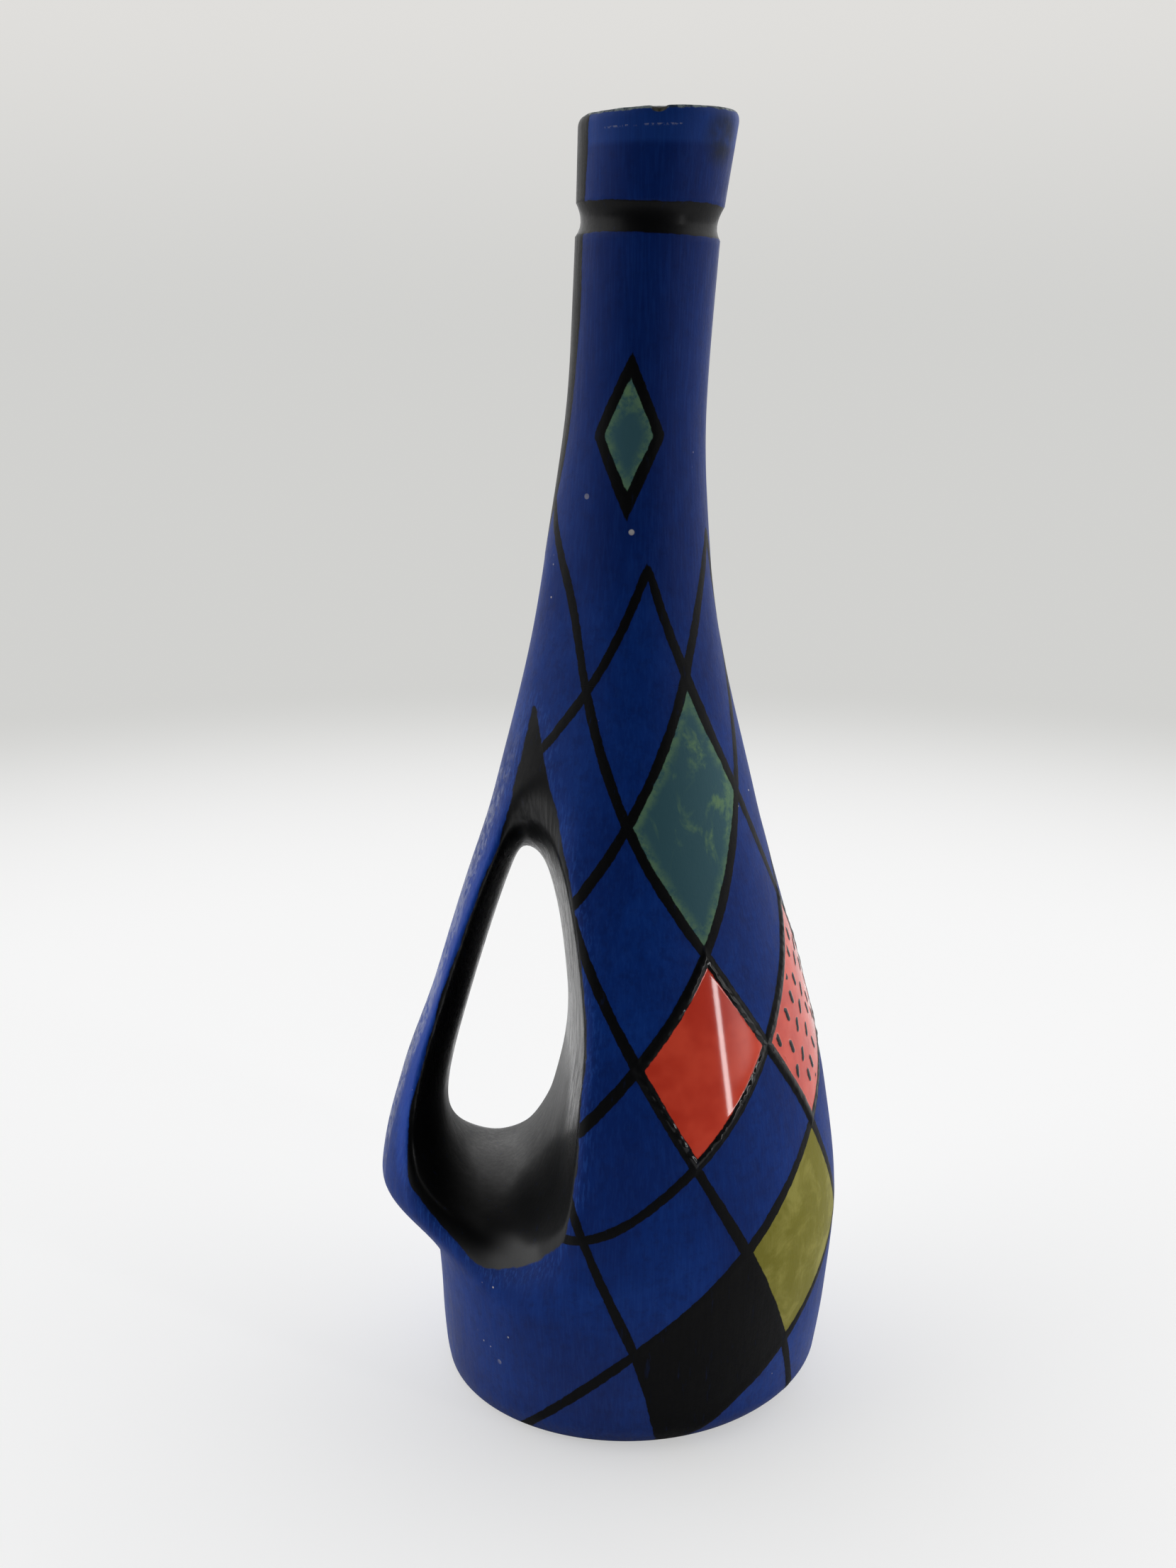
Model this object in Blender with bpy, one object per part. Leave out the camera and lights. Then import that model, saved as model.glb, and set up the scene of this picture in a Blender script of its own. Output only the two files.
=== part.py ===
"""A tall glazed jug: round belly, long leaning neck, pouring lip, and an opening that leaves a handle.

Sizes are in millimetres and become metres where a mesh is made. +Z is up, the pouring lip is at +X and
the handle at -X. The origin is the middle of the flat underside of the foot.

The outside is one form: rings round a leaning axis, with a ridge down the handle side that swells into a
knuckle at the handle's foot. A scoop is cut through it from side to side. The jug is made of hollow
sections that stand on each other in stepped joints, and a solid strap that closes the scoop as a handle.
"""
from bisect import bisect_right
from math import acos, ceil, cos, hypot, pi, sin

import bmesh
import bpy
from mathutils import Vector
from mathutils.bvhtree import BVHTree

MM = 0.001

# Clay walls, and the stepped joints between the sections
WALL = 4.5
SLIP = 0.3
TONGUE = 3.0

# Radius of the round form, and the rise of each station above the one below it
FOOT_RADIUS = 54.5
BELLY_RADIUS = 59.5
BELLY_RISE = 52.0
FLANK_RADIUS = 55.6
FLANK_RISE = 37.0
WAIST_RADIUS = 48.6
WAIST_RISE = 30.0
BACK_RADIUS = 33.3
BACK_RISE = 55.0
SHOULDER_RADIUS = 20.3
SHOULDER_RISE = 62.0
NECK_RADIUS = 18.2
NECK_RISE = 44.0
COLLAR_RADIUS = 18.8
COLLAR_RISE = 38.5
MOUTH_RADIUS = 20.4
MOUTH_RISE = 31.5

BELLY_Z = BELLY_RISE
FLANK_Z = BELLY_Z + FLANK_RISE
WAIST_Z = FLANK_Z + WAIST_RISE
BACK_Z = WAIST_Z + BACK_RISE
SHOULDER_Z = BACK_Z + SHOULDER_RISE
NECK_Z = SHOULDER_Z + NECK_RISE
COLLAR_Z = NECK_Z + COLLAR_RISE
RIM_Z = COLLAR_Z + MOUTH_RISE

# The axis stands a little forward of the origin at the belly, and leans forward from the neck up
BELLY_LEAN = 0.7
COLLAR_LEAN = 2.9
MOUTH_LEAN = 5.4

# Ridge down the back: its reach beyond the round form, and how narrow it is
KNUCKLE_START_REACH = 0.6
KNUCKLE_REACH = 15.0
HANDLE_REACH = 11.3
STRAP_REACH = 7.7
BACK_REACH = 4.7
NAPE_REACH = 3.8
RIDGE_POWER = 10
KNUCKLE_ABOVE = 6.0
KNUCKLE_BELOW = 20.0
RIDGE_END_BELOW = 26.5
KNUCKLE_Z = BELLY_Z + KNUCKLE_ABOVE
RIDGE_END_Z = COLLAR_Z - RIDGE_END_BELOW

# Mouth: the collar stands on a grooved band that dips forward, and its rim rises to the lip
GROOVE_DEPTH = 1.3
GROOVE_BELOW = 3.6
GROOVE_ABOVE = 4.8
GROOVE_DIP = -0.03
RIM_TILT = 0.035
LIP_REACH = 0.7
LIP_POWER = 8
RIM_ROUND = 1.6
RIM_DROP = 2.8

# Joints between the sections: the foot's height, and how far the others lie from their stations
FOOT_JOINT_Z = 4.0
FOOT_ROUND = 1.8
SHOULDER_JOINT_BELOW = 29.0
NECK_JOINT_BELOW = 18.0
GROOVE_LEDGE = 1.3

SHOULDER_JOINT_Z = SHOULDER_Z - SHOULDER_JOINT_BELOW
NECK_JOINT_Z = NECK_Z - NECK_JOINT_BELOW
COLLAR_JOINT_Z = COLLAR_Z + GROOVE_LEDGE + GROOVE_BELOW
BELLY_SPAN = (FOOT_JOINT_Z + SLIP / 2, SHOULDER_JOINT_Z - SLIP / 2)

# Handle: how far its joints with the belly lie inside the opening's ends, and its pegs
HANDLE_FOOT_ABOVE = 19.5
HANDLE_HEAD_BELOW = 8.0
PEG_LENGTH = 4.0
FOOT_PEG_THICK = 7.0
FOOT_PEG_WIDE = 20.0
HEAD_PEG_THICK = 4.6
HEAD_PEG_WIDE = 15.0

# The scoop, clockwise from the top as seen from -Y. Each station has a point of the narrow opening at
# y = 0 (x, z) and the point of the scoop's edge that it opens out to (x, depth, z). They are shares:
# of the flank's radius across, and of the back station's height upward
SCOOP = (
    (-0.529, 0.907, -0.509, 0.369, 1.009),
    (-0.442, 0.884, -0.403, 0.477, 0.977),
    (-0.378, 0.813, -0.320, 0.603, 0.894),
    (-0.340, 0.724, -0.255, 0.755, 0.776),
    (-0.326, 0.644, -0.232, 0.863, 0.661),
    (-0.345, 0.557, -0.259, 0.944, 0.560),
    (-0.396, 0.480, -0.275, 1.007, 0.471),
    (-0.477, 0.405, -0.324, 1.007, 0.385),
    (-0.603, 0.359, -0.464, 0.899, 0.307),
    (-0.737, 0.349, -0.638, 0.809, 0.283),
    (-0.854, 0.365, -0.809, 0.728, 0.292),
    (-0.932, 0.405, -1.011, 0.594, 0.336),
    (-0.960, 0.466, -1.137, 0.423, 0.431),
    (-0.924, 0.543, -1.079, 0.320, 0.540),
    (-0.820, 0.664, -0.975, 0.268, 0.661),
    (-0.712, 0.776, -0.836, 0.264, 0.784),
    (-0.626, 0.856, -0.691, 0.281, 0.905),
    (-0.572, 0.897, -0.601, 0.306, 0.977),
)
HANDLE_FOOT_Z = min(station[1] for station in SCOOP) * BACK_Z + HANDLE_FOOT_ABOVE
HANDLE_HEAD_Z = max(station[1] for station in SCOOP) * BACK_Z - HANDLE_HEAD_BELOW
SCOOP_PAST = 12.0
SCOOP_WIDEST = 1.6

# Fineness of the meshes: knuckle and groove heights are shares of their reach from the middle
SEGMENTS = 48
RING_STEP = 8.5
LEAST_RING_STEP = 1.7
KNUCKLE_SHARES = (1.0, 0.75, 0.5, 0.25, -0.3)
GROOVE_SHARES = (1.0, 0.7, 0.4)
SPAN_STEPS = 3
SCOOP_PLANES = 11
SCOOP_PLANE_SPREAD = 1.4
STRAP_ARC = 6
STRAP_CHORD = 7
ROUND_STEPS = 3


def smooth_curve(stations):
    """A curve through (position, value) stations that never overshoots them."""
    place = [station[0] for station in stations]
    value = [station[1] for station in stations]
    width = [b - a for a, b in zip(place, place[1:])]
    slope = [(b - a) / w for a, b, w in zip(value, value[1:], width)]
    tangent = [slope[0]]
    for i in range(1, len(slope)):
        before, after = slope[i - 1], slope[i]
        if before * after <= 0:
            tangent.append(0.0)
            continue
        near = 2 * width[i] + width[i - 1]
        far = width[i] + 2 * width[i - 1]
        tangent.append((near + far) / (near / before + far / after))
    tangent.append(slope[-1])

    def curve(position):
        i = min(max(bisect_right(place, position) - 1, 0), len(width) - 1)
        t = min(max((position - place[i]) / width[i], 0.0), 1.0)
        start = (1 + 2 * t) * (1 - t) ** 2 * value[i]
        end = t * t * (3 - 2 * t) * value[i + 1]
        leave = t * (1 - t) ** 2 * width[i] * tangent[i]
        arrive = t * t * (t - 1) * width[i] * tangent[i + 1]
        return start + end + leave + arrive

    return curve


round_radius = smooth_curve((
    (0.0, FOOT_RADIUS),
    (BELLY_Z, BELLY_RADIUS),
    (FLANK_Z, FLANK_RADIUS),
    (WAIST_Z, WAIST_RADIUS),
    (BACK_Z, BACK_RADIUS),
    (SHOULDER_Z, SHOULDER_RADIUS),
    (NECK_Z, NECK_RADIUS),
    (COLLAR_Z, COLLAR_RADIUS),
    (RIM_Z, MOUTH_RADIUS),
))
axis_lean = smooth_curve((
    (0.0, 0.0),
    (BELLY_Z / 2, BELLY_LEAN),
    (BELLY_Z, BELLY_LEAN),
    (BACK_Z, 0.0),
    (SHOULDER_Z + NECK_RISE / 2, 0.0),
    (COLLAR_Z, COLLAR_LEAN),
    (RIM_Z, MOUTH_LEAN),
))
ridge_reach = smooth_curve((
    (0.0, 0.0),
    (KNUCKLE_Z - KNUCKLE_BELOW, KNUCKLE_START_REACH),
    (KNUCKLE_Z, KNUCKLE_REACH),
    (FLANK_Z, HANDLE_REACH),
    (WAIST_Z, STRAP_REACH),
    (BACK_Z, BACK_REACH),
    (SHOULDER_Z, NAPE_REACH),
    (RIDGE_END_Z, 0.0),
    (RIM_Z, 0.0),
))
ring_tilt = smooth_curve((
    (NECK_Z, 0.0),
    (COLLAR_JOINT_Z, GROOVE_DIP),
    (RIM_Z, RIM_TILT),
))
lip_reach = smooth_curve((
    (COLLAR_JOINT_Z, 0.0),
    (RIM_Z, LIP_REACH),
))


def groove_inset(z):
    """How far the grooved band under the collar lies below the surface at a height."""
    half = GROOVE_ABOVE if z > COLLAR_JOINT_Z else GROOVE_BELOW
    across = min(abs(z - COLLAR_JOINT_Z) / half, 1.0)
    return GROOVE_DEPTH * (1 - across ** 2)


def outer_radius(z, angle):
    """Distance of the outside from the axis at a height and an angle from +X."""
    ridge = ridge_reach(z) * ((1 - cos(angle)) / 2) ** RIDGE_POWER
    lip = lip_reach(z) * ((1 + cos(angle)) / 2) ** LIP_POWER
    return round_radius(z) + ridge + lip - groove_inset(z)


def ring_point(z, angle, radius):
    """The point of a tilted ring round the leaning axis."""
    x = radius * cos(angle)
    return Vector((axis_lean(z) + x, radius * sin(angle), z + ring_tilt(z) * x))


def angles():
    return [2 * pi * k / SEGMENTS for k in range(SEGMENTS)]


def ring(z, inset=0.0):
    """A ring of points set in from the outside by a distance."""
    return [ring_point(z, angle, outer_radius(z, angle) - inset) for angle in angles()]


def levels(low, high, step=RING_STEP):
    """Evenly spaced heights from low to high, no further apart than a step."""
    count = ceil((high - low) / step)
    return [low + (high - low) * k / count for k in range(count + 1)]


def belly_levels(low, high):
    """Heights that show the belly's outside, closer together round the knuckle."""
    knuckle = [KNUCKLE_Z - KNUCKLE_BELOW * share for share in KNUCKLE_SHARES]
    spread = [z for z in levels(low, high) if min(abs(z - k) for k in knuckle) > LEAST_RING_STEP]
    return sorted(spread + [z for z in knuckle if low < z < high])


def loft(name, rings, closed=False):
    """A mesh object through rings of points in mm, capped at both ends or closed on itself."""
    shape = bmesh.new()
    loops = [[shape.verts.new(point * MM) for point in points] for points in rings]
    pairs = list(zip(loops, loops[1:]))
    if closed:
        pairs.append((loops[-1], loops[0]))
    for lower, upper in pairs:
        for k in range(len(lower)):
            following = (k + 1) % len(lower)
            shape.faces.new((lower[k], lower[following], upper[following], upper[k]))
    if not closed:
        shape.faces.new(reversed(loops[0]))
        shape.faces.new(loops[-1])
    bmesh.ops.recalc_face_normals(shape, faces=shape.faces)
    mesh = bpy.data.meshes.new(name)
    shape.to_mesh(mesh)
    shape.free()
    piece = bpy.data.objects.new(name, mesh)
    bpy.context.scene.collection.objects.link(piece)
    return piece


def cutter(piece):
    """Marks an object as a guide that cuts others and is no piece of the jug."""
    piece.hide_render = True
    piece.display_type = "WIRE"
    return piece


def combine(piece, others, operation):
    """Adds one Boolean of an object with several others at once."""
    group = bpy.data.collections.new(piece.name + "_" + others[0].name)
    for other in others:
        group.objects.link(other)
    modifier = piece.modifiers.new(group.name, "BOOLEAN")
    modifier.operation = operation
    modifier.solver = "EXACT"
    modifier.operand_type = "COLLECTION"
    modifier.collection = group


def box(name, low, high):
    """A box between two corners in mm."""
    corners = ((low.x, low.y), (high.x, low.y), (high.x, high.y), (low.x, high.y))
    rings = [[Vector((x, y, z)) for x, y in corners] for z in (low.z, high.z)]
    return loft(name, rings)


def scoop_stations():
    """The scoop's stations in mm, joined by a smooth closed curve, with points between them."""
    scale = (FLANK_RADIUS, BACK_Z, FLANK_RADIUS, FLANK_RADIUS, BACK_Z)
    sized = [[share * size for share, size in zip(station, scale)] for station in SCOOP]
    stations = []
    count = len(sized)
    for i in range(count):
        before, start, end, after = (sized[(i + k) % count] for k in (-1, 0, 1, 2))
        for step in range(SPAN_STEPS):
            t = step / SPAN_STEPS
            stations.append([
                0.5 * (2 * b + (c - a) * t + (2 * a - 5 * b + 4 * c - d) * t * t
                       + (3 * b - a - 3 * c + d) * t ** 3)
                for a, b, c, d in zip(before, start, end, after)
            ])
    return stations


def scoop_outline(stations, y):
    """The scoop's outline in the plane at a depth: a soft waist that flares past its edge."""
    points = []
    for hole_x, hole_z, edge_x, edge_depth, edge_z in stations:
        s = abs(y) / edge_depth
        flare = s * s if s < 1 else min(2 * s - 1, SCOOP_WIDEST)
        points.append(Vector((
            hole_x + (edge_x - hole_x) * flare,
            y,
            hole_z + (edge_z - hole_z) * flare,
        )))
    return points


def scoop_cutter():
    """The space of the scoop, from well outside one face of the jug to well outside the other."""
    stations = scoop_stations()
    reach = BELLY_RADIUS + SCOOP_PAST
    shares = [(k / SCOOP_PLANES) ** SCOOP_PLANE_SPREAD for k in range(1, SCOOP_PLANES + 1)]
    half = [reach * share for share in shares]
    depths = [-depth for depth in reversed(half)] + [0.0] + half
    return cutter(loft("scoop", [scoop_outline(stations, depth) for depth in depths]))


def hollow_radius(tree, z, angle):
    """How far the belly's hollow reaches: a wall's thickness short of the outside and of the scoop."""
    limit = outer_radius(z, angle) - WALL
    radius = 0.0
    while radius < limit:
        place = ring_point(z, angle, radius) * MM
        clear = tree.find_nearest(place)[3] / MM - WALL
        if clear < SLIP / 10:
            return radius
        radius += clear
    return limit


def belly_hollow(scoop):
    """The space inside the belly, opened at both ends through the stepped joints."""
    shape = bmesh.new()
    shape.from_mesh(scoop.data)
    tree = BVHTree.FromBMesh(shape)
    shape.free()
    step_inset = (WALL - SLIP) / 2
    floor = FOOT_JOINT_Z + TONGUE
    rings = [ring(FOOT_JOINT_Z - TONGUE, step_inset), ring(floor, step_inset)]
    for z in levels(floor, SHOULDER_JOINT_Z + 2 * TONGUE):
        rings.append([ring_point(z, angle, hollow_radius(tree, z, angle)) for angle in angles()])
    return cutter(loft("belly_hollow", rings))


def shoulder_of_joint(joint_z):
    """Rings of a joint's lower side: the step and the tongue that stands inside it."""
    inset = (WALL + SLIP) / 2
    top = joint_z + TONGUE - SLIP
    return [ring(joint_z - SLIP / 2), ring(joint_z - SLIP / 2, inset), ring(top, inset)]


def tube_section(name, low_joint, high_joint, extra_levels=()):
    """A hollow section that sits over one joint's tongue and ends in the next joint's tongue."""
    low = low_joint + SLIP / 2
    high = high_joint - SLIP / 2
    ceiling = low_joint + TONGUE
    step_inset = (WALL - SLIP) / 2
    outside = sorted(set(levels(low, high)) | set(extra_levels))
    rings = [ring(ceiling, step_inset), ring(low, step_inset)]
    rings += [ring(z) for z in outside[:-1]]
    rings += shoulder_of_joint(high_joint)
    inside = levels(ceiling, high_joint + TONGUE - SLIP, 2 * RING_STEP)
    rings += [ring(z, WALL) for z in reversed(inside)]
    return loft(name, rings, closed=True)


def groove_levels(low, high):
    """Heights that show the round section of the grooved band between two heights."""
    heights = [COLLAR_JOINT_Z - GROOVE_BELOW * share for share in GROOVE_SHARES]
    heights += [COLLAR_JOINT_Z + GROOVE_ABOVE * share for share in GROOVE_SHARES]
    return [z for z in heights if low < z < high]


def make_foot():
    rings = [
        ring(0.0, FOOT_ROUND),
        ring(FOOT_ROUND * 0.25, FOOT_ROUND * 0.35),
        ring(FOOT_ROUND, 0.0),
    ]
    return loft("foot", rings + shoulder_of_joint(FOOT_JOINT_Z))


def make_belly(scoop):
    rings = [ring(z) for z in belly_levels(*BELLY_SPAN)[:-1]]
    belly = loft("belly", rings + shoulder_of_joint(SHOULDER_JOINT_Z))
    cutters = [belly_hollow(scoop), scoop, handle_pocket(), *peg_sockets()]
    combine(belly, cutters, "DIFFERENCE")
    return belly


def opening_sides(z):
    """Where the narrow opening starts and ends along X at a height, at y = 0."""
    outline = scoop_outline(scoop_stations(), 0.0)
    sides = []
    for start, end in zip(outline, outline[1:] + outline[:1]):
        if (start.z - z) * (end.z - z) <= 0 and start.z != end.z:
            sides.append(start.x + (end.x - start.x) * (z - start.z) / (end.z - start.z))
    return min(sides), max(sides)


def strap_middle(z):
    """Middle of the handle strap's thickness at a height, between the ridge and the opening."""
    outside = ring_point(z, pi, outer_radius(z, pi)).x
    return (outside + opening_sides(z)[0]) / 2


def strap_section(z):
    """The handle side of the ring at a height, cut off straight across through the opening."""
    middle = sum(opening_sides(z)) / 2
    cut = acos((axis_lean(z) - middle) / round_radius(z))
    turns = [pi + cut * k / STRAP_ARC for k in range(-STRAP_ARC, STRAP_ARC + 1)]
    section = [ring_point(z, angle, outer_radius(z, angle)) for angle in turns]
    shares = [k / STRAP_CHORD for k in range(1, STRAP_CHORD)]
    return section + [section[-1].lerp(section[0], share) for share in shares]


def peg_section(joint_z, thick, wide, z):
    """An oval ring at a height round the strap's middle, with a point for each of the section's."""
    middle = strap_middle(joint_z)
    points = []
    for corner in strap_section(joint_z):
        x, y = corner.x - middle, corner.y
        share = 1 / hypot(2 * x / thick, 2 * y / wide)
        points.append(Vector((middle + x * share, y * share, z)))
    return points


def peg_sockets():
    """The spaces in the belly for the strap's two pegs, larger by the slip."""
    sockets = []
    for name, joint_z, thick, wide in (
        ("foot_socket", HANDLE_FOOT_Z, FOOT_PEG_THICK, FOOT_PEG_WIDE),
        ("head_socket", HANDLE_HEAD_Z, HEAD_PEG_THICK, HEAD_PEG_WIDE),
    ):
        reach = PEG_LENGTH + SLIP
        rings = [
            peg_section(joint_z, thick + 2 * SLIP, wide + 2 * SLIP, z)
            for z in (joint_z - reach, joint_z + reach)
        ]
        sockets.append(cutter(loft(name, rings)))
    return sockets


def handle_pocket():
    """The space in the belly that the strap fills, larger by a joint's gap."""
    reach = BELLY_RADIUS + KNUCKLE_REACH + WALL
    face = sum(opening_sides(HANDLE_HEAD_Z)) / 2
    low = Vector((-reach, -reach / 2, HANDLE_FOOT_Z - SLIP / 2))
    high = Vector((face, reach / 2, HANDLE_HEAD_Z + SLIP / 2))
    return cutter(box("handle_pocket", low, high))


def make_handle(scoop):
    low = HANDLE_FOOT_Z + SLIP / 2
    high = HANDLE_HEAD_Z - SLIP / 2
    foot_peg = (HANDLE_FOOT_Z, FOOT_PEG_THICK, FOOT_PEG_WIDE)
    head_peg = (HANDLE_HEAD_Z, HEAD_PEG_THICK, HEAD_PEG_WIDE)
    between = [z for z in belly_levels(*BELLY_SPAN) if low < z < high]
    rings = [peg_section(*foot_peg, HANDLE_FOOT_Z - PEG_LENGTH), peg_section(*foot_peg, low)]
    rings += [strap_section(z) for z in [low, *between, high]]
    rings += [peg_section(*head_peg, high), peg_section(*head_peg, HANDLE_HEAD_Z + PEG_LENGTH)]
    handle = loft("handle", rings)
    combine(handle, [scoop], "DIFFERENCE")
    return handle


def make_collar():
    low = COLLAR_JOINT_Z + SLIP / 2
    ceiling = COLLAR_JOINT_Z + TONGUE
    step_inset = (WALL - SLIP) / 2
    brow = RIM_Z - RIM_DROP
    outside = sorted(set(levels(low, brow)) | set(groove_levels(low, brow)))
    rings = [ring(ceiling, step_inset), ring(low, step_inset)]
    rings += [ring(z) for z in outside]
    quarter = [pi / 2 * k / ROUND_STEPS for k in range(1, ROUND_STEPS + 1)]
    rings += [ring(brow + RIM_DROP * sin(a), RIM_ROUND * (1 - cos(a))) for a in quarter]
    rings += [ring(brow + RIM_DROP * sin(a), WALL - RIM_ROUND * (1 - cos(a))) for a in reversed(quarter)]
    rings += [ring(z, WALL) for z in reversed(levels(ceiling, brow))]
    return loft("mouth_collar", rings, closed=True)


def glaze(name, colour, roughness):
    """A glazed surface of one colour."""
    material = bpy.data.materials.new(name)
    material.use_nodes = True
    shader = material.node_tree.nodes["Principled BSDF"]
    shader.inputs["Base Color"].default_value = (*colour, 1.0)
    shader.inputs["Roughness"].default_value = roughness
    shader.inputs["Metallic"].default_value = 0.0
    return material


def finish(piece, material):
    """Gives a piece its material and smooth shading with crisp joints."""
    piece.data.materials.append(material)
    piece.data.shade_smooth()
    piece.data.set_sharp_from_angle(angle=pi / 6)


def main():
    for leftover in list(bpy.data.objects):
        bpy.data.objects.remove(leftover)
    blue = glaze("cobalt_blue_glaze", (0.012, 0.035, 0.27), 0.5)
    clay = glaze("bare_clay", (0.62, 0.45, 0.33), 0.85)
    scoop = scoop_cutter()
    belly = make_belly(scoop)
    handle = make_handle(scoop)
    shoulder = tube_section("shoulder", SHOULDER_JOINT_Z, NECK_JOINT_Z)
    groove = groove_levels(NECK_JOINT_Z, COLLAR_JOINT_Z - SLIP / 2)
    neck = tube_section("neck", NECK_JOINT_Z, COLLAR_JOINT_Z, groove)
    for piece in (belly, handle, shoulder, neck, make_collar()):
        finish(piece, blue)
    finish(make_foot(), clay)


main()
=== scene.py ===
from math import cos, pi, radians, sin

import bmesh
import bpy
import numpy as np
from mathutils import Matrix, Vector


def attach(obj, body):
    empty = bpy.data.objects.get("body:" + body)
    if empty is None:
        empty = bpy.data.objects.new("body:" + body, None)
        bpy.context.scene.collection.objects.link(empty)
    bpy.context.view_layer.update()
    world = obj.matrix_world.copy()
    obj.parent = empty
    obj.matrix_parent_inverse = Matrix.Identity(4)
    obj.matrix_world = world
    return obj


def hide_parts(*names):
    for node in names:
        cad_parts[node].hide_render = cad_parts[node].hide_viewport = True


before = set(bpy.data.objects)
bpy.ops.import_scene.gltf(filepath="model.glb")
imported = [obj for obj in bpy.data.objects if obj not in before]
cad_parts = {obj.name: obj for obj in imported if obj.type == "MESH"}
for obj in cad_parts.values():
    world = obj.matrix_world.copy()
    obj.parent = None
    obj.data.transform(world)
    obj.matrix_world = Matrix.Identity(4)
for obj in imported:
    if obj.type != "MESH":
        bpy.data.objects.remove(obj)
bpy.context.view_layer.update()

MM = 0.001

# The outside, close to the CAD source's and fitted a little nearer: at each height the radius, the shift of
# the axis towards the lip, how far the handle's ridge stands out, the tilt of a ring and the lip's reach
ROUND = ((0, 54.5), (26, 57.3), (54, 59.5), (89, 55.7), (119, 48.8), (174, 33.8), (236, 20.8), (280, 18.4),
         (318.5, 18.8), (350, 20.4))
LEAN = ((0, 0), (26, 0.9), (52, 0.7), (119, 0.2), (174, 0.1), (258, 0.2), (318.5, 2.9), (350, 5.4))
RIDGE = ((0, 0), (14, 0.2), (28, -0.4), (39, -0.8), (58.5, 14.5), (72, 13.7), (89, 11.4), (119, 7.5),
         (150, 6.3), (174, 4.9), (224, 4.4), (292, 0), (350, 0))
RING_TILT = ((280, 0), (323.4, -0.03), (350, 0.035))
LIP = ((323.4, 0), (350, 0.7))
# How narrow the ridge and the lip are across: a higher power is narrower
RIDGE_POWER = ((0, 14), (44, 14), (66, 10), (350, 10))
LIP_POWER = 8
RIM_Z = 350.0
RIM_DROP = 2.8
RIM_ROUND = 1.6
WALL = 4.5
GROOVE_Z = 323.4
GROOVE_DEPTH = 1.3
GROOVE_BELOW = 3.6
GROOVE_ABOVE = 4.8
FOOT_Z = 4.0
FOOT_ROUND = 1.8
# How far the lower edge is trimmed in: all round, more towards the lip, and less at the lip and handle; and
# the height at which the trimming ends
FOOT_CUT = (4.5, 2.7, -1.2)
FOOT_CUT_Z = 8.0
FOOT_LEVELS = (2.5, 3.2, FOOT_Z, FOOT_Z + 0.8)
SHOULDER_Z = 207.0
NECK_Z = 262.0
HANDLE_FOOT_Z = 80.3
HANDLE_HEAD_Z = 149.8
HANDLE_FACE_X = -30.0

# The painted skin lies this far inside the CAD's outside, which leaves room for the raised glaze
SKIN = 0.15

# The scoop, clockwise from the top as seen from -Y: a point of the narrow opening at y = 0 (x, z) and the
# point of the edge that it opens out to (x, depth, z)
SCOOP = (
    (-29.4, 157.8, -28.3, 20.5, 175.5),
    (-24.6, 153.8, -22.4, 26.5, 170),
    (-21, 141.5, -17.8, 33.5, 155.5),
    (-18.9, 126, -14.2, 42, 135),
    (-18.1, 112, -12.9, 48, 115),
    (-19.2, 97, -14.4, 52.5, 97.5),
    (-22, 83.5, -15.3, 56, 82),
    (-26.5, 70.5, -18, 56, 67),
    (-33.5, 62.5, -25.8, 50, 53.5),
    (-41, 60.8, -35.5, 45, 49.2),
    (-47.5, 63.5, -45, 40.5, 50.8),
    (-51.8, 70.5, -56.2, 33, 58.5),
    (-53.4, 81, -63.2, 23.5, 75),
    (-51.4, 94.5, -60, 17.8, 94),
    (-45.6, 115.5, -54.2, 14.9, 115),
    (-39.6, 135, -46.5, 14.7, 136.5),
    (-34.8, 149, -38.4, 15.6, 157.5),
    (-31.8, 156, -33.4, 17, 170),
)
SCOOP_STEPS = 5
SCOOP_WIDEST = 1.6
SCOOP_LOW = np.array((-76.0, -62.0, 36.0))
SCOOP_HIGH = np.array((-4.0, 62.0, 200.0))
SCOOP_BLUR = 3
SCOOP_CLEAR = -20.0
# How widely the scoop's edge is rounded: beside, what is added below and above, and between which heights
EDGE_ROUND = 2.6
EDGE_BELOW = (7.0, 70, 56)
EDGE_ABOVE = (5.0, 158, 176)

# Where the black of the scoop ends, seen from the side (x, z)
SCOOP_PAINT = (
    (-26, 198.6), (-23.8, 186.4), (-21.3, 175.6), (-19.4, 166.7), (-17.1, 155.9), (-14.9, 144.3),
    (-14, 135.2), (-13.2, 125.2), (-12.7, 117.5), (-13.3, 109.4), (-14.2, 99.7), (-15, 87.2),
    (-15.9, 78), (-17.3, 71.2), (-18.8, 64.5), (-21, 60), (-25, 55), (-30.8, 50.6), (-37, 48.5),
    (-43, 48.4), (-48.5, 52.6), (-55.1, 57.9), (-60.1, 63.3), (-62.5, 66.7), (-63.2, 73.2), (-63, 79.9),
    (-61.9, 87.7), (-59.3, 96.2), (-57.4, 102.5), (-54.4, 114.3), (-50.4, 126.2), (-45.8, 138.3),
    (-41.3, 150.8), (-38, 158.7), (-34.8, 168.3), (-32.1, 179.7), (-29.6, 189.3), (-27.6, 198.6),
)

# Half the width of the black stripe down the back, by height
STRIPE = ((236, -1.0), (262, 6.0), (290, 8.2), (318, 9.2), (350, 9.6))

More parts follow.
